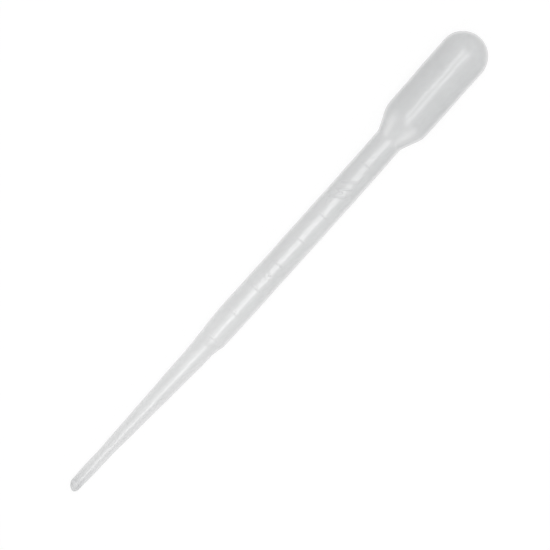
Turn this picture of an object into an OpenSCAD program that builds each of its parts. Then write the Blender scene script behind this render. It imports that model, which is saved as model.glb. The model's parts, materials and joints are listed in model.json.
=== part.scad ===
// Graduated dropper pipette, blow-moulded in one piece from soft milky plastic. Millimetres.
//
// The outline is drawn upright, with the end of the tip at height 0 and the bulb on top, and turned
// about Z. The pipette is then laid on its side, as it comes to rest on a table: on the shoulder of its
// bulb and the lower end of its barrel, with the tip just clear. The tip points towards -X and the bulb
// towards +X, and the scale faces up. The origin is on the table, under the middle of the bounding box.

/* [Whole pipette] */
// Length from the end of the tip to the top of the bulb
overall_len = 150; // [145:1:160]
// Thickness of the moulded wall
wall = 0.5; // [0.4:0.05:0.6]

/* [Tip] */
// Outer radius of the parallel tip
tip_r = 1.6; // [1.5:0.05:1.8]
// Outer radius at the very end of the tip
tip_end_r = 1.45; // [1.4:0.05:1.5]
// Length over which the end of the tip narrows
tip_end_len = 5; // [3:0.5:8]
// Length of the parallel tip
tip_len = 14; // [10:0.5:16]
// Rounding of the lip around the tip's mouth
lip_round = 0.25; // [0.15:0.05:0.3]

/* [Stem] */
// Length of the small flare from the tip to the stem
flare_len = 2.2; // [1.5:0.1:3]
// Outer radius at the lower end of the stem
stem_low_r = 1.77; // [1.7:0.01:1.9]
// Outer radius at the upper end of the stem
stem_top_r = 2.93; // [2.8:0.01:3]
// Height of the upper end of the stem
stem_top = 47.4; // [45:0.1:48]

/* [Barrel] */
// Length of the step from the stem out to the barrel
step_len = 4.3; // [3.5:0.1:6]
// Outer radius just above that step
step_top_r = 3.47; // [3.3:0.01:3.5]
// Height from which the barrel is parallel
barrel_low = 56.5; // [54:0.5:60]
// Outer radius of the parallel barrel
barrel_r = 3.6; // [3.55:0.01:3.8]

/* [Bulb] */
// Height at which the barrel turns into the shoulder
shoulder_low = 116.4; // [114:0.1:118]
// Height at which the shoulder turns into the bulb
shoulder_top = 122.1; // [121:0.1:124]
// Outer radius at the lower end of the bulb
bulb_low_r = 6.1; // [5.9:0.01:6.2]
// Outer radius of the bulb and of its domed top
bulb_r = 6.2; // [6.1:0.01:6.4]

/* [Scale] */
// Height of the lowest graduation line
scale_low = 51.2; // [50:0.1:53]
// Distance from one graduation line to the next
scale_pitch = 8.1; // [7.8:0.1:8.3]
// Number of graduation lines
scale_lines = 8; // [4:1:8]
// Width of a graduation line at its foot
line_w = 0.6; // [0.4:0.05:0.8]
// Height of the raised lines and numerals above the wall
relief = 0.16; // [0.08:0.01:0.2]
// Width of the strokes of the numerals and letters
stroke_w = 0.35; // [0.25:0.05:0.5]

/* [Hidden] */
$fn = 72;

// Each corner of the outline is [radius, height, rounding]. inset moves the side walls inwards.
function side_corners(inset) = [
    [tip_r - inset, tip_len, 4],
    [stem_low_r - inset, tip_len + flare_len, 8],
    [stem_top_r - inset, stem_top, 9],
    [step_top_r - inset, stem_top + step_len, 7],
    [barrel_r - inset, barrel_low, 60],
    [barrel_r - inset, shoulder_low, 3 + inset],
    [bulb_low_r - inset, shoulder_top, 5.5 - inset],
];
function at(corner) = [corner[0], corner[1]];
function unit(v) = v / norm(v);

// The arc that rounds the corner p, between its neighbours a and b
arc_steps = 6;
function arc(a, p, b, rounding) = let (
        to_a = unit(a - p),
        to_b = unit(b - p),
        half = acos(to_a * to_b) / 2,
        centre = p + unit(to_a + to_b) * rounding / sin(half),
        start = p + to_a * rounding / tan(half) - centre,
        end = p + to_b * rounding / tan(half) - centre,
        turn = sign(cross(start, end)) * (180 - 2 * half))
    [for (i = [0:arc_steps]) let (g = turn * i / arc_steps)
        centre + [start.x * cos(g) - start.y * sin(g), start.x * sin(g) + start.y * cos(g)]];
function rounded(corners) = [for (i = [1:len(corners) - 2])
    each arc(at(corners[i - 1]), at(corners[i]), at(corners[i + 1]), corners[i][2])];

// The half circle on top of the bulb, from its side to the axis
dome_z = overall_len - bulb_r;
dome_steps = 18;
function dome(r) = [for (i = [0:dome_steps]) let (g = 90 * i / dome_steps) [r * cos(g), dome_z + r * sin(g)]];

outer_corners = concat([[0, 0, 0], [tip_end_r, 0, lip_round], [tip_r, tip_end_len, 30]],
    side_corners(0), [[bulb_r, dome_z, 0]]);
outline = concat([[0, 0]], rounded(outer_corners), dome(bulb_r));

// The cavity starts below the tip, so that it cuts the mouth open
below = -1;
cavity_corners = concat([[tip_r - wall, below, 0]], side_corners(wall), [[bulb_r - wall, dome_z, 0]]);
cavity = concat([[0, below], [tip_r - wall, below]], rounded(cavity_corners), dome(bulb_r - wall));

// How it lies: the table is the line that touches the outline on both sides of its balance point
balance = 90;
function slope(p, q) = atan((q.x - p.x) / (q.y - p.y));
tilt = min([for (p = outline) if (p.y < balance) max([for (q = outline) if (q.y > balance) slope(p, q)])]);
lift = max([for (p = outline) p.x * cos(tilt) - p.y * sin(tilt)]);
low_x = min([for (p = outline) p.y * cos(tilt) - p.x * sin(tilt)]);
high_x = max([for (p = outline) p.y * cos(tilt) + p.x * sin(tilt)]);

// The scale faces the side that lies on top, which is -X while the pipette is upright. Angles across
// it are positive towards +Y.
scale_side = 180;
line_from = -25;
line_to = 35;
// The line beside the letters is a short one, below them
short_line = 6;
short_from = -48;
short_to = -22;
profile_heights = [for (c = outer_corners) [c[1], c[0]]];

module body_wall() {
    difference() {
        rotate_extrude() polygon(outline);
        rotate_extrude() polygon(cavity);
    }
}

// A raised line, whose foot and top follow the slope of the wall. Its edges are [distance from its middle,
// height above the wall].
line_edges = [[-line_w / 2, -wall / 2], [-line_w / 2, 0], [-line_w / 4, relief],
    [line_w / 4, relief], [line_w / 2, 0], [line_w / 2, -wall / 2]];

module graduation(height, from, to) {
    rotate([0, 0, scale_side - to])
        rotate_extrude(angle = to - from)
            polygon([for (e = line_edges) [lookup(height + e[0], profile_heights) + e[1], height + e[0]]]);
}

module graduations() {
    for (i = [0:scale_lines - 1])
        let (short = i == short_line)
            graduation(scale_low + i * scale_pitch, short ? short_from : line_from, short ? short_to : line_to);
}

// A straight stroke between two points of the plane that the lettering is drawn in
module stroke(a, b) {
    run = b - a;
    translate((a + b) / 2)
        rotate(atan2(run.y, run.x))
            square([norm(run) + stroke_w, stroke_w], center = true);
}

module strokes(points) {
    for (i = [0:len(points) - 2]) stroke(points[i], points[i + 1]);
}

// Each character is [place along the pipette, place across it, height, its points in units of its height]
dot = [[0.1, 0.1], [0.1, 0.1]];
zero = [[0.2, 0], [0, 0.25], [0, 0.75], [0.2, 1], [0.5, 1], [0.7, 0.75], [0.7, 0.25], [0.5, 0], [0.2, 0]];
one = [[0.1, 0.75], [0.35, 1], [0.35, 0]];
two = [[0, 0.8], [0.2, 1], [0.5, 1], [0.65, 0.75], [0, 0], [0.7, 0]];
letter_m = [[0, 0], [0, 1], [0.55, 0.2], [1.1, 1], [1.1, 0]];
letter_l = [[0, 1], [0, 0], [0.55, 0]];
characters = [
    [69.2, -0.9, 1.6, one], [70.3, -0.9, 1.6, dot], [71.2, -0.9, 1.6, zero],
    [94.7, 1.1, 1.2, two], [95.9, 1.1, 1.2, dot], [96.5, 1.1, 1.2, zero],
    [98.2, -1, 3, letter_m], [102.8, -1, 3, letter_l],
];

module lettering() {
    intersection() {
        rotate([0, -90, 0])
            linear_extrude(height = 2 * barrel_r)
                for (c = characters) strokes([for (p = c[3]) [c[0], c[1]] + c[2] * p]);
        difference() {
            cylinder(r = barrel_r + relief, h = shoulder_low);
            translate([0, 0, -1]) cylinder(r = barrel_r - wall / 2, h = shoulder_low + 2);
        }
    }
}

module pipette() {
    color([0.88, 0.9, 0.9, 0.6])
        translate([-(low_x + high_x) / 2, 0, lift])
            rotate([0, 90 - tilt, 0]) {
                body_wall();
                graduations();
                lettering();
            }
}

pipette();
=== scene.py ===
"""The dropper pipette dressed: milky, lightly glossy plastic, a real wall, a raised scale, a fine tip."""

import json
import math

import bpy
import numpy as np
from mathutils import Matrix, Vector


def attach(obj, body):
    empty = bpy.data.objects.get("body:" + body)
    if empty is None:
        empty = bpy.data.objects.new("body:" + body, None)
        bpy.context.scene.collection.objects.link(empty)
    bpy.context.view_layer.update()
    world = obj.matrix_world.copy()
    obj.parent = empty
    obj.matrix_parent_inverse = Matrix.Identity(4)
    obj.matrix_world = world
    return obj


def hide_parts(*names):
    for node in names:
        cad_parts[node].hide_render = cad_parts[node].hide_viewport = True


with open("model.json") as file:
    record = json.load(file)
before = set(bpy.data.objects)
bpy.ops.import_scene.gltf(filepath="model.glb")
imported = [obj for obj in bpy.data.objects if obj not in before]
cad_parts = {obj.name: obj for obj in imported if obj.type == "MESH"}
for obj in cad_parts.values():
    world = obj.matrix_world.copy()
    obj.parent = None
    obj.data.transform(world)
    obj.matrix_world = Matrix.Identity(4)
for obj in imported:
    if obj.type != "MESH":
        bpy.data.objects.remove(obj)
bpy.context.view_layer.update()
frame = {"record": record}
MM = 0.001

# ---------------------------------------------------------------- what the frame says
mounts = {m["name"]: m for m in frame["record"]["mounts"]}
bore, barrel = mounts["tip_bore"], mounts["barrel"]
ALONG = -np.array(bore["axis"])                   # from the tip towards the bulb
ACROSS = np.array([0.0, 1.0, 0.0])
ABOVE = np.cross(ALONG, ACROSS)                   # out of the side that carries the scale
TIP_END = np.array(bore["pos_m"]) - ALONG * bore["dims"]["length_mm"] / 2 * MM
BARREL_R = barrel["dims"]["r_mm"]
BORE_R = bore["dims"]["r_mm"]


def on_axis(s):
    """The world point of the axis at s millimetres from the tip's end."""
    return Vector(TIP_END + ALONG * s * MM)


# ---------------------------------------------------------------- the form
# All in millimetres. A place is a distance along the pipette from the tip's end. An angle, in degrees, is
# measured around the pipette from the middle of the side that carries the scale, towards +Y.
LENGTH = 150.0
WALL = 0.5
TIP_END_R = 1.45
BULB_R = 6.2
DOME_FROM = LENGTH - BULB_R
# Each corner of the outline is (place, radius)
OUTLINE = [(0, TIP_END_R), (5, 1.58), (14, 1.58), (16.2, 1.74), (47.4, 2.89), (51.7, 3.47), (56.5, BARREL_R),
           (116.4, BARREL_R), (122.1, 6.1), (DOME_FROM, BULB_R)]
# Half the length over which each corner of the outline is rounded, and the least half length elsewhere
ROUNDING = [(5, 1.5), (14, 0.7), (16.2, 0.7), (47.4, 0.6), (51.7, 0.6), (56.5, 1.0), (116.4, 0.75),
            (122.1, 1.5)]
LEAST_ROUNDING = 0.05
# The step from the stem to the barrel is crisp on top and on its -Y side, and drawn out on its +Y side: how
# much the radius changes there, by place, and half the lengths over which those changes are rounded
TOP_STEP = [(47.6, 0.0), (48.6, -0.08), (50.0, 0.16), (51.3, 0.03), (52.5, 0.0)]
CRISP_STEP = [(44.0, 0.0), (47.7, -0.09), (48.7, -0.13), (49.7, -0.08), (50.3, 0.05), (51.2, 0.1),
              (52.0, 0.0), (54.0, -0.05), (57.0, 0.0)]
DRAWN_STEP = [(44.0, 0.0), (47.7, 0.06), (49.2, 0.0), (50.7, -0.09), (51.7, -0.11), (52.8, -0.04),
              (54.5, 0.0)]
CRISP_ROUNDING, DRAWN_ROUNDING = 0.3, 0.4
# Slight unevenness of the blown wall, except underneath: (height, length along, waves around, phase). It
# grows to its full height over the first stretch of the tip, and the inside follows it by a share.
WAVES = [(0.012, 23.0, 2, 0.4), (0.022, 11.0, 3, 2.1), (0.01, 6.1, 4, 4.0), (0.005, 3.7, 5, 1.3)]
WAVES_GROW = 12.0
INSIDE_SHARE = 0.6
# Fine seam where the mould's two halves met, at this angle on both sides. It rises from SEAM_FROM.
SEAM_ANGLE = 90
SEAM_HEIGHT, SEAM_HALF, SEAM_STEEP = 0.035, 0.2, 1.2
SEAM_FROM, SEAM_RISE = 3, 3
# The tip is cut askew, with its mouth down: at the angle CUT_SIDE it is shorter than opposite by CUT.
# Opposite, it is longer than a square cut by LONGER. The cut moves the places less and less up to CUT_REACH.
CUT, CUT_SIDE, LONGER, CUT_REACH = 2.0, 152.0, 0.22, 8.0
# The lip's outer edge is rounded over this length. Its first ring is wider than the bore by LIP_OPENING, and
# the bore ends at BORE_FROM. Up to BORE_TO the cavity is the bore, and from there it follows the outline.
LIP_LENGTH = 0.9
LIP_OPENING = 0.03
BORE_FROM, BORE_TO = 0.1, 10
# The real one has cooled with a slight bow: how far its middle line lies to the side, by place, and half the
# length over which that is rounded
BOW = [(0, 0.67), (28, 0.05), (41, -0.24), (51, -0.46), (58, -0.41), (85, -0.44), (102, -0.42), (115, -0.3),
       (127, -0.18), (139, -0.02), (150, 0.04)]
BOW_ROUNDING = 2.5

# ---------------------------------------------------------------- the milk and the gloss of the wall
# The share of light that a surface scatters where it is seen head on, by place, outside and inside. The cut
# end of the tip is the milkiest.
OUTER_MILK = [(0, 0.5), (0.5, 0.62), (1.3, 0.6), (2.4, 0.45), (3.2, 0.37), (8, 0.31), (60, 0.31),
              (112, 0.33), (126, 0.34), (150, 0.34)]
INNER_MILK = [(0, 0.6), (1.3, 0.6), (2.4, 0.33), (3.2, 0.18), (8, 0.08), (45, 0.08), (60, 0.13), (85, 0.19),
              (108, 0.35), (114, 0.36), (117, 0.28), (121, 0.28), (125, 0.44), (141, 0.44), (150, 0.28)]
# Painted light: the inside lets more through in two lighter streaks up the neck: from where to where, how
# far to each side as a share of the radius, half their width, how steeply they end, and the share of the
# milk that they lose
LIT_STREAK_FROM, LIT_STREAK_TO = 114.5, 124.0
LIT_STREAK_PLACE, LIT_STREAK_HALF, LIT_STREAK_STEEP, LIT_STREAK_MILK_LOST = 0.55, 0.42, 1.5, 1.0
# Painted shade: the inside is milkier in two darker bands along both sides: where, as a share of the radius
# across, and by how much
SHADE_BAND_PLACE, SHADE_BAND_HALF, SHADE_BAND_MILK = 0.6, 0.3, 0.09
# The share of light that the outside mirrors where it is seen head on, by place. The tip's cut end is matt.
GLOSS = [(0, 0.0), (1.2, 0.0), (1.7, 0.09), (12, 0.09), (40, 0.125), (92, 0.12), (102, 0.098), (117, 0.098),
         (122, 0.082), (150, 0.082)]
# How much of its gloss the raised scale has lost
RAISED_DULL = 0.25
# Half the lengths over which these tables are rounded
OUTER_MILK_ROUNDING, INNER_MILK_ROUNDING, GLOSS_ROUNDING = 0.5, 0.4, 0.4

# ---------------------------------------------------------------- the scale: lines, numerals and the unit
RELIEF = 0.09
LINE_FIRST, LINE_PITCH, LINES = 51.2, 8.1, 8
LINE_HALF, LINE_STEEP = 0.36, 1.3
# The angles between which a line runs. Its ends start LINE_PAST further out and rise over LINE_FADE.
LINE_FROM, LINE_TO = -25.0, 35.0
LINE_PAST, LINE_FADE = 2, 12
# The line beside the letters is a short one
SHORT_LINE, SHORT_FROM, SHORT_TO = 6, -48.0, -22.0
# The share of their height that the lines lose towards +Y, from which angle, and over how many degrees
LINE_LOWERED, LOWER_FROM, LOWER_OVER = 0.55, -5, 16
# The characters' points, in units of their height
DOT = [(0.1, 0.1), (0.1, 0.1)]
ZERO = [(0.2, 0), (0, 0.25), (0, 0.75), (0.2, 1), (0.5, 1), (0.7, 0.75), (0.7, 0.25), (0.5, 0), (0.2, 0)]
ONE = [(0.1, 0.75), (0.35, 1), (0.35, 0)]
TWO = [(0, 0.8), (0.2, 1), (0.5, 1), (0.65, 0.75), (0, 0), (0.7, 0)]
LETTER_M = [(0, 0), (0, 1), (0.4, 0.45), (0.8, 1), (0.8, 0)]
LETTER_L = [(0, 1), (0, 0), (0.55, 0)]
# Each is (place, place across, height, lean, half the stroke's width, share of the relief, points). The
# first zero has closed around a dot.
CHARACTERS = [
    (69.2, -1.0, 1.6, 0, 0.3, 0.2, ONE),
    (70.3, -1.0, 1.6, 0, 0.3, 0.2, DOT),
    (71.25, -1.25, 2.1, 0, 0.55, 0.45, ZERO),
    (71.9, -0.26, 1.0, 0, 0.4, 1.2, DOT),
    (95.0, 1.6, 1.2, 0, 0.3, 0.6, TWO),
    (96.2, 1.6, 1.2, 0, 0.3, 0.6, DOT),
    (96.8, 1.6, 1.2, 0, 0.3, 0.6, ZERO),
    (98.6, -1.2, 3.1, 0.7, 0.45, 1.3, LETTER_M),
    (103.4, -1.2, 3.1, 0.8, 0.5, 1.2, LETTER_L),
]
STROKE_STEEP = 1.6
# The characters lie within this angle to both sides
CHARACTERS_WITHIN = 80

# ---------------------------------------------------------------- tables and curves
# The tables are added up at these places, which go on past both ends
STEP, PAST_ENDS = 0.02, 6.0
FINE = np.arange(-PAST_ENDS, LENGTH + PAST_ENDS, STEP)


def averaged(table, s, half):
    """The broken line of a (place, value) table at s, averaged over half a length to each side."""
    total = np.concatenate([[0.0], np.cumsum(np.interp(FINE, *zip(*table)))]) * STEP
    ends = np.concatenate([FINE, [FINE[-1] + STEP]]) - STEP / 2
    return (np.interp(s + half, ends, total) - np.interp(s - half, ends, total)) / (2 * half)


def eased(x):
    """0 below 0, 1 above 1, and a smooth rise between them."""
    x = np.clip(x, 0.0, 1.0)
    return x * x * (3 - 2 * x)


def ridge(off, half, steepness=1.0):
    """A ridge's height at off from its middle: 0 from half outwards, and a flat top where it is steep."""
    return eased(steepness * (1 - off / half))


def side_radius(s):
    """The radius of the outside at s, below the dome, with its corners rounded."""
    half = np.full(np.shape(s), LEAST_ROUNDING)
    for place, most in ROUNDING:
        # Rounded fully as far as most from the corner, and less and less up to three times as far
        half = np.maximum(half, np.clip(1.5 * most - 0.5 * np.abs(s - place), 0.0, most))
    return averaged(OUTLINE, s, half)


def unevenness(s, angle):
    """What the step's two sides and the blown wall add to the radius."""
    a = np.radians(angle)
    step = (averaged(TOP_STEP, s, CRISP_ROUNDING) * eased(np.cos(a))
            + averaged(DRAWN_STEP, s, DRAWN_ROUNDING) * eased(np.sin(a))
            + averaged(CRISP_STEP, s, CRISP_ROUNDING) * eased(-np.sin(a)))
    waves = sum(height * np.sin(2 * math.pi * s / length + phase) * np.cos(around * a + 2 * phase)
                for height, length, around, phase in WAVES)
    return step + waves * eased(s / WAVES_GROW) * eased(1 + np.cos(a))


def seam(s, angle, r):
    """The height of the mould's seam, which runs along both sides."""
    off = r * np.radians(np.abs(np.abs((angle + 180) % 360 - 180) - SEAM_ANGLE))
    return SEAM_HEIGHT * ridge(off, SEAM_HALF, SEAM_STEEP) * eased((s - SEAM_FROM) / SEAM_RISE)


def raised(s, angle, r):
    """How far the scale stands out at s and angle, as a share of RELIEF, on a wall of radius r."""
    height = np.zeros(np.broadcast(s, angle).shape)
    lowered = 1 - LINE_LOWERED * eased((angle - LOWER_FROM) / LOWER_OVER)
    for i in range(LINES):
        low, high = (SHORT_FROM, SHORT_TO) if i == SHORT_LINE else (LINE_FROM, LINE_TO)
        line = ridge(np.abs(s - LINE_FIRST - i * LINE_PITCH), LINE_HALF, LINE_STEEP) * lowered
        height = np.maximum(height, line * eased((angle - low + LINE_PAST) / LINE_FADE)
                            * eased((high + LINE_PAST - angle) / LINE_FADE))
    across = r * np.sin(np.radians(angle))
    for place, place_across, size, lean, half, share, strokes in CHARACTERS:
        points = [(place + (x - lean * y) * size, place_across + y * size) for x, y in strokes]
        for (x0, y0), (x1, y1) in zip(points, points[1:]):
            run_s, run_y = x1 - x0, y1 - y0
            t = ((s - x0) * run_s + (across - y0) * run_y) / max(run_s**2 + run_y**2, 1e-9)
            t = np.clip(t, 0.0, 1.0)
            off = np.hypot(s - x0 - t * run_s, across - y0 - t * run_y)
            stroke = share * ridge(off, half, STROKE_STEEP) * (np.abs(angle) < CHARACTERS_WITHIN)
            height = np.maximum(height, stroke)
    return height


def inner_milk_and_painted_shading(s, angle):
    """The inside's milk: more along both sides (painted shade), less in two neck streaks (painted light)."""
    across = np.abs(np.sin(np.radians(angle)))
    # Painted shade: darker bands along both sides of the inside
    painted_shade_bands = SHADE_BAND_MILK * ridge(np.abs(across - SHADE_BAND_PLACE), SHADE_BAND_HALF)
    middle, half = (LIT_STREAK_FROM + LIT_STREAK_TO) / 2, (LIT_STREAK_TO - LIT_STREAK_FROM) / 2
    # Painted light: two lighter streaks up the neck
    painted_light_streak = ridge(np.abs(across - LIT_STREAK_PLACE), LIT_STREAK_HALF) * ridge(np.abs(s - middle), half, LIT_STREAK_STEEP)
    return (averaged(INNER_MILK, s, INNER_MILK_ROUNDING) + painted_shade_bands) * (1 - LIT_STREAK_MILK_LOST * painted_light_streak)


# ---------------------------------------------------------------- the mesh
# The angles of the mesh's columns. They are SCALE_TURN apart as far as SCALE_SIDE to both sides of the
# scale, SEAM_TURN apart as far as SEAM_SIDE from the seams, and PLAIN_TURN apart elsewhere.
SCALE_SIDE, SCALE_TURN = 54.0, 1.8
SEAM_SIDE, SEAM_TURN = 6.0, 1.5
PLAIN_TURN = 6.0


def turns(low, high, gap):
    """The angles from low to high, a gap apart."""
    return np.arange(low, high + gap / 2, gap)


ANGLES = np.unique(np.round(np.concatenate([
    turns(-SCALE_SIDE, SCALE_SIDE, SCALE_TURN), turns(SCALE_SIDE, 360 - SCALE_SIDE, PLAIN_TURN),
    *[turns(at - SEAM_SIDE, at + SEAM_SIDE, SEAM_TURN) for at in (SEAM_ANGLE, 360 - SEAM_ANGLE)]]), 3))
ANGLES = ANGLES[:-1]                              # the last one is the first again
AROUND = ANGLES[None, :]
LIP_STEPS, DOME_STEPS = 8, 26
# How far the rings of a dome have climbed over it, as angles
CLIMB = np.linspace(0, math.pi / 2, DOME_STEPS + 1)[:-1]
# The side wall's rings: the first plain one, and the gaps between them on plain stretches, around corners,
# across a line, and across the characters, which lie within these places. No gap is under LEAST_GAP.
PLAIN_FROM, PLAIN_GAP = 0.5, 0.9
CORNER_GAP = 0.2
LINE_GAP = 0.09
CHARACTER_PLACES, CHARACTER_GAP = [(68.8, 72.8), (94.3, 105.0)], 0.12
LEAST_GAP = 0.06


def ring_places():
    """The places of the side wall's rings, close together where the form or the scale needs it."""
    wanted = [np.arange(PLAIN_FROM, DOME_FROM, PLAIN_GAP)]
    wanted += [np.arange(low, high, CHARACTER_GAP) for low, high in CHARACTER_PLACES]
    wanted += [np.arange(place - 2 * half, place + 2 * half, CORNER_GAP) for place, half in ROUNDING]
    wanted += [LINE_FIRST + i * LINE_PITCH + np.arange(-5, 6) * LINE_GAP for i in range(LINES)]
    kept = [LIP_LENGTH]
    for s in np.sort(np.concatenate(wanted)):
        if s - kept[-1] > LEAST_GAP and s < DOME_FROM - LEAST_GAP:
            kept.append(s)
    return np.array(kept)


def cut_askew(s):
    """The places s in rows, moved on by the tip's askew cut in each of the columns of ANGLES."""
    s = np.asarray(s, float)[:, None]
    cut = CUT * (1 + np.cos(np.radians(ANGLES - CUT_SIDE))[None, :]) / 2 - LONGER
    return s + cut * np.clip(1 - s / CUT_REACH, 0.0, 1.0) ** 2


def ring_points(s, r):
    """World points for the places s and radii r, in rows of rings and columns of ANGLES."""
    a = np.radians(AROUND)
    side = averaged(BOW, s, BOW_ROUNDING)
    return TIP_END + MM * (s[..., None] * ALONG + (r * np.cos(a))[..., None] * ABOVE
                           + (r * np.sin(a) + side)[..., None] * ACROSS)


def outside(body):
    """The places, radii and gloss of the outer rings: round the lip, up the side wall and over the dome."""
    body_r = side_radius(body)[:, None]
    scale = raised(body[:, None], AROUND, body_r)
    side_r = (body_r + unevenness(body[:, None], AROUND) + RELIEF * scale
              + seam(body[:, None], AROUND, body_r))
    # The lip is a quarter of an ellipse from the bore round to the outside, longer outside
    turn = np.linspace(0, math.pi / 2, LIP_STEPS + 1)[:-1]
    lip_s = LIP_LENGTH * (1 - np.cos(turn))
    lip_r = BORE_R + (body_r[0, 0] - BORE_R) * np.sin(turn)
    lip_r[0] += LIP_OPENING
    dome_s = DOME_FROM + BULB_R * np.sin(CLIMB)
    dome_r = BULB_R + unevenness(dome_s[:, None], AROUND) + seam(dome_s[:, None], AROUND, BULB_R)
    places = cut_askew(np.concatenate([lip_s, body, dome_s]))
    radii = np.vstack([lip_r[:, None] * np.ones_like(AROUND), side_r, dome_r * np.cos(CLIMB)[:, None]])
    gloss = averaged(GLOSS, places, GLOSS_ROUNDING)
    gloss[len(lip_s):len(lip_s) + len(body)] *= 1 - RAISED_DULL * scale**2
    return places, radii, gloss


def inside(body):
    """The places and radii of the inner rings, from the top of the cavity down to the lip."""
    top_s = DOME_FROM + (BULB_R - WALL) * np.sin(CLIMB)
    top_r = BULB_R - WALL + INSIDE_SHARE * unevenness(top_s[:, None], AROUND)
    side_s = body[::2]
    side_r = np.where(side_s < BORE_TO, BORE_R, side_radius(side_s) - WALL)[:, None]
    side_r = side_r + INSIDE_SHARE * unevenness(side_s[:, None], AROUND)
    places = cut_askew(np.concatenate([top_s[::-1], side_s[::-1], [BORE_FROM]]))
    radii = np.vstack([(top_r * np.cos(CLIMB)[:, None])[::-1], side_r[::-1], BORE_R * np.ones_like(AROUND)])
    return places, radii


def closed_faces(rings, n):
    """The faces between rings of n points each. The two points that follow the rings close both ends."""
    faces = []
    for i in range(rings - 1):
        a, b = i * n, (i + 1) * n
        faces += [(a + j, b + j, b + (j + 1) % n, a + (j + 1) % n) for j in range(n)]
    last = (rings - 1) * n
    faces += [(rings * n, j, (j + 1) % n) for j in range(n)]
    faces += [(last + j, rings * n + 1, last + (j + 1) % n) for j in range(n)]
    return faces


def wall_mesh():
    """The wall as one closed surface: from the cavity's top down to the lip, and up outside to the dome."""
    body = ring_places()
    inner_s, inner_r = inside(body)
    outer_s, outer_r, outer_gloss = outside(body)
    points = ring_points(np.vstack([inner_s, outer_s]), np.vstack([inner_r, outer_r]))
    rings, n = points.shape[:2]
    ends = ring_points(cut_askew([LENGTH - WALL, LENGTH]), np.zeros((2, n)))[:, 0]
    faces = closed_faces(rings, n)
    mesh = bpy.data.meshes.new("pipette_wall")
    mesh.from_pydata(np.vstack([points.reshape(-1, 3), ends]).tolist(), [], faces)
    mesh.polygons.foreach_set("use_smooth", [True] * len(faces))
    mesh.update()
    # What the material reads at each point: its milk, with the inside's painted shading, and its gloss
    milk = inner_milk_and_painted_shading(inner_s, AROUND), averaged(OUTER_MILK, outer_s, OUTER_MILK_ROUNDING)
    gloss = np.zeros_like(inner_s), outer_gloss
    for name, (inner, outer) in {"milk": milk, "gloss": gloss}.items():
        values = np.concatenate([inner.ravel(), outer.ravel(), [inner[0, 0], outer[-1, 0]]])
        mesh.attributes.new(name, "FLOAT", "POINT").data.foreach_set("value", values.astype(np.float32))
    return mesh


pipette = bpy.data.objects.new("pipette_wall", wall_mesh())
bpy.context.scene.collection.objects.link(pipette)
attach(pipette, "root")
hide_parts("pipette")


# ---------------------------------------------------------------- materials
class Nodes:
    """A material's or world's node tree, with a short way to add and link nodes."""

    def __init__(self, owner):
        owner.use_nodes = True
        self.tree = owner.node_tree
        self.tree.nodes.clear()

    def add(self, kind, inputs=(), **settings):
        """Adds a node. inputs gives values or output sockets by the input's name or number."""
        made = self.tree.nodes.new("ShaderNode" + kind)
        for name, value in settings.items():
            setattr(made, name, value)
        for name, value in dict(inputs).items():
            if isinstance(value, bpy.types.NodeSocket):
                self.tree.links.new(value, made.inputs[name])
            else:
                made.inputs[name].default_value = value
        return made

    def maths(self, operation, a, b=0.0, clamp=False):
        return self.add("Math", {0: a, 1: b}, operation=operation, use_clamp=clamp).outputs[0]

    def ramp(self, value, low, high, to_low, to_high):
        """value from low to high becomes to_low to to_high, and stays within them."""
        return self.add("MapRange", {"Value": value, "From Min": low, "From Max": high,
                                     "To Min": to_low, "To Max": to_high}).outputs[0]

    def seen(self):
        """1 for rays that show a background: the camera's, and those reflected or let through."""
        path = self.add("LightPath").outputs
        rays = self.maths("ADD", path["Is Camera Ray"], path["Is Glossy Ray"])
        return self.maths("ADD", rays, path["Is Transmission Ray"], clamp=True)


def grey(level):
    return (level, level, level, 1)


WHITE = grey(1)
# The plastic's colour varies a little, between these two
DARKER, LIGHTER = (0.768, 0.775, 0.781, 1), (0.803, 0.81, 0.815, 1)
# Two noises: fine mottle, and streaks drawn out along the pipette. Their values mostly lie within NOISE.
MOTTLE_SCALE, MOTTLE_DETAIL = 260.0, 4.0
STREAK_SCALE, STREAK_DETAIL, STREAK_STRETCH = 700.0, 2.0, (0.08, 1.0, 1.0)
NOISE = 0.3, 0.7
# How much they change the share of light that is scattered: the sum of both is a factor about 1
MOTTLED, STREAKED = 0.04, 0.015
BUMP_STRENGTH, BUMP_HEIGHT = 0.15, 0.05 * MM
# How fast less light gets through where the wall is seen at a slant, and from where on it stays the same
SLANT_POWER, LEAST_FACING = -0.16, 0.1
# The share of the scattered light that goes on through the wall
PASSED_ON = 0.4
# The roughness of the gloss on the barrel and on the bulb, the places between which it changes, and how much
# the streaks change it. Below about 0.275 it is denoised as a mirror, and the highlight gets jagged edges.
ROUGH_BARREL, ROUGH_BULB, ROUGH_STREAKED = 0.29, 0.28, 0.004
ROUGH_FROM, ROUGH_TO = 110, 130
# How many times stronger the gloss is at the very edge than head on, and how late it rises
GLOSS_AT_EDGE, GLOSS_CURVE = 4.5, 3.0


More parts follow.
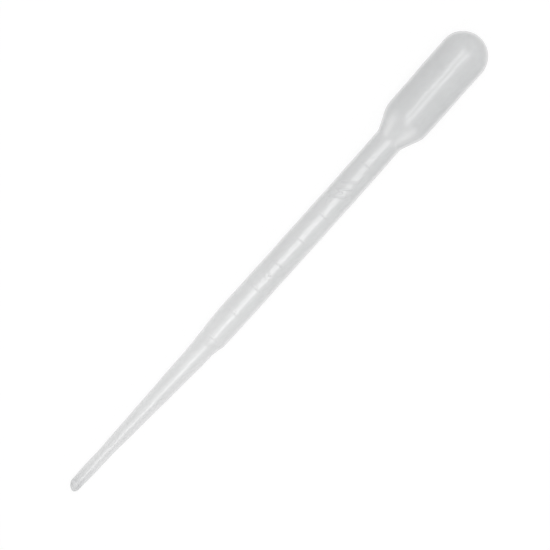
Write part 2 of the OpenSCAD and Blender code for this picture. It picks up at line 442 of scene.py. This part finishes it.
def milky_plastic():
    """Thin milky plastic: light passes or is scattered to both sides, and the outside is glossy."""
    material = bpy.data.materials.new("milky_plastic")
    nodes = Nodes(material)
    place = nodes.add("TexCoord").outputs["Object"]
    drawn = nodes.add("Mapping", {"Vector": place, "Scale": STREAK_STRETCH}).outputs[0]
    streaks = nodes.add("TexNoise", {"Vector": drawn, "Scale": STREAK_SCALE,
                                     "Detail": STREAK_DETAIL}).outputs[0]
    mottle = nodes.add("TexNoise", {"Vector": place, "Scale": MOTTLE_SCALE,
                                    "Detail": MOTTLE_DETAIL}).outputs[0]
    facing = nodes.add("LayerWeight", {"Blend": 0.5}).outputs["Facing"]

    # The share that gets through falls where the wall is seen at a slant
    # The milk read here holds the inside's painted shade bands and painted light streaks
    milk_with_painted_shading = nodes.add("Attribute", attribute_name="milk").outputs["Fac"]
    uneven = nodes.maths("ADD", nodes.ramp(mottle, *NOISE, 1 - MOTTLED, 1 + MOTTLED),
                         nodes.ramp(streaks, *NOISE, -STREAKED, STREAKED))
    open_share = nodes.maths("SUBTRACT", 1.0, nodes.maths("MULTIPLY", milk_with_painted_shading, uneven))
    head_on = nodes.maths("MAXIMUM", nodes.maths("SUBTRACT", 1.0, facing), LEAST_FACING)
    clear_share = nodes.maths("POWER", open_share, nodes.maths("POWER", head_on, SLANT_POWER))

    colour = nodes.add("Mix", {0: mottle, 6: DARKER, 7: LIGHTER}, data_type="RGBA").outputs[2]
    bump = nodes.add("Bump", {"Strength": BUMP_STRENGTH, "Distance": BUMP_HEIGHT,
                              "Height": streaks}).outputs[0]
    matt = nodes.add("BsdfDiffuse", {"Color": colour, "Normal": bump}).outputs[0]
    through = nodes.add("BsdfTranslucent", {"Color": colour, "Normal": bump}).outputs[0]
    milk = nodes.add("MixShader", {0: PASSED_ON, 1: matt, 2: through}).outputs[0]
    clear = nodes.add("BsdfTransparent").outputs[0]
    wall = nodes.add("MixShader", {0: clear_share, 1: milk, 2: clear}).outputs[0]

    # The gloss of the outside, stronger at a slant and a little finer on the bulb
    along = nodes.add("SeparateXYZ", {0: place}).outputs["X"]
    ends = on_axis(ROUGH_FROM).x, on_axis(ROUGH_TO).x
    rough = nodes.maths("ADD", nodes.ramp(along, *ends, ROUGH_BARREL, ROUGH_BULB),
                        nodes.ramp(streaks, *NOISE, -ROUGH_STREAKED, ROUGH_STREAKED))
    front = nodes.maths("SUBTRACT", 1.0, nodes.add("NewGeometry").outputs["Backfacing"])
    stored_gloss = nodes.add("Attribute", attribute_name="gloss").outputs["Fac"]
    gloss_share = nodes.maths("MULTIPLY", stored_gloss, front)
    at_slant = nodes.ramp(nodes.maths("POWER", facing, GLOSS_CURVE), 0.0, 1.0, 1.0, GLOSS_AT_EDGE)
    mirror = nodes.maths("MULTIPLY", gloss_share, at_slant)
    gloss = nodes.add("BsdfGlossy", {"Color": WHITE, "Roughness": rough, "Normal": bump}).outputs[0]
    shown = nodes.add("MixShader", {0: mirror, 1: wall, 2: gloss}).outputs[0]
    nodes.add("OutputMaterial", {"Surface": shown})
    return material


pipette.data.materials.append(milky_plastic())

# ---------------------------------------------------------------- floor and world
FLOOR_HALF = 4.0
FLOOR_CORNERS = [(-1, -1), (1, -1), (1, 1), (-1, 1)]
FLOOR_BELOW = 0.0001
# The paper as the pipette sees it, and as the camera sees it: nearly white by itself, with a little that
# takes shadows
PAPER_LIT, PAPER_GLOW, PAPER_SHADED = 0.9, 0.875, 0.15
# The studio's light from its -Y side and from its +Y side
LIGHT_FRONT, LIGHT_BACK = 0.72, 0.48


def white_paper():
    """Lit like paper, and shown nearly white with a faint shadow."""
    material = bpy.data.materials.new("white_paper")
    nodes = Nodes(material)
    lit = nodes.add("BsdfDiffuse", {"Color": grey(PAPER_LIT)}).outputs[0]
    faint = nodes.add("BsdfDiffuse", {"Color": grey(PAPER_SHADED)}).outputs[0]
    glow = nodes.add("Emission", {"Color": WHITE, "Strength": PAPER_GLOW}).outputs[0]
    shown = nodes.add("AddShader", {0: faint, 1: glow}).outputs[0]
    mix = nodes.add("MixShader", {0: nodes.seen(), 1: lit, 2: shown}).outputs[0]
    nodes.add("OutputMaterial", {"Surface": mix})
    return material


def studio():
    """Soft light from all around, and plain white where it is seen."""
    world = bpy.data.worlds.new("studio")
    nodes = Nodes(world)
    side = nodes.add("SeparateXYZ", {0: nodes.add("TexCoord").outputs["Generated"]}).outputs["Y"]
    light = nodes.ramp(side, -1.0, 1.0, LIGHT_FRONT, LIGHT_BACK)
    around = nodes.add("Background", {"Color": WHITE, "Strength": light}).outputs[0]
    shown = nodes.add("Background", {"Color": WHITE, "Strength": 1.0}).outputs[0]
    mix = nodes.add("MixShader", {0: nodes.seen(), 1: around, 2: shown}).outputs[0]
    nodes.add("OutputWorld", {"Surface": mix})
    return world


floor_mesh = bpy.data.meshes.new("floor")
floor_mesh.from_pydata([(x * FLOOR_HALF, y * FLOOR_HALF, 0) for x, y in FLOOR_CORNERS], [], [(0, 1, 2, 3)])
floor = bpy.data.objects.new("floor", floor_mesh)
floor.location.z = -FLOOR_BELOW
bpy.context.scene.collection.objects.link(floor)
floor_mesh.materials.append(white_paper())
bpy.context.scene.world = studio()

# ---------------------------------------------------------------- lights
# Long strips hang over the pipette, each from one (x, y) to another, in metres. The first shows in the stem.
# The other two lie to both sides of the rest, and show as one broad line on the barrel and as two lines on
# the bulb. The step and the shoulder are too steep to mirror any of them, so the highlight breaks off there.
STRIPS = [((-0.27, -0.19), (-0.12, -0.085)), ((-0.12, -0.085), (0.35, -0.15)),
          ((-0.075, 0.089), (0.35, 0.21))]
STRIP_WIDTH = 0.07
STRIP_HEIGHT = 0.6
STRIP_RADIANCE = 4.2
for start, end in STRIPS:
    run = Vector(end) - Vector(start)
    lamp = bpy.data.lights.new("strip", "AREA")
    lamp.shape = "RECTANGLE"
    lamp.size, lamp.size_y = run.length, STRIP_WIDTH
    lamp.energy = STRIP_RADIANCE * 4 * lamp.size * lamp.size_y
    strip = bpy.data.objects.new("strip", lamp)
    strip.location = ((start[0] + end[0]) / 2, (start[1] + end[1]) / 2, STRIP_HEIGHT)
    strip.rotation_euler = (0, 0, math.atan2(run.y, run.x))
    strip.visible_camera = False
    bpy.context.scene.collection.objects.link(strip)

# ---------------------------------------------------------------- camera
# It looks straight down, turned in its picture, on a field this wide at the pipette. It stands over the
# middle of the axis, but for a small shift to the right and up in its picture.
CAMERA_HEIGHT = 0.9
FIELD = 0.13557
TURN = math.radians(-48.1)
SHIFT_RIGHT, SHIFT_UP = -0.29, -2.60
lens = bpy.data.cameras.new("camera")
lens.sensor_width = 36.0
lens.lens = lens.sensor_width * CAMERA_HEIGHT / FIELD
camera = bpy.data.objects.new("camera", lens)
middle = on_axis(LENGTH / 2)
right = Vector((math.cos(TURN), math.sin(TURN), 0))
up = Vector((-math.sin(TURN), math.cos(TURN), 0))
camera.location = middle + SHIFT_RIGHT * MM * right + SHIFT_UP * MM * up + Vector((0, 0, CAMERA_HEIGHT))
camera.rotation_euler = (0, 0, TURN)
bpy.context.scene.collection.objects.link(camera)
bpy.context.scene.camera = camera

bpy.context.scene.view_settings.view_transform = "Standard"
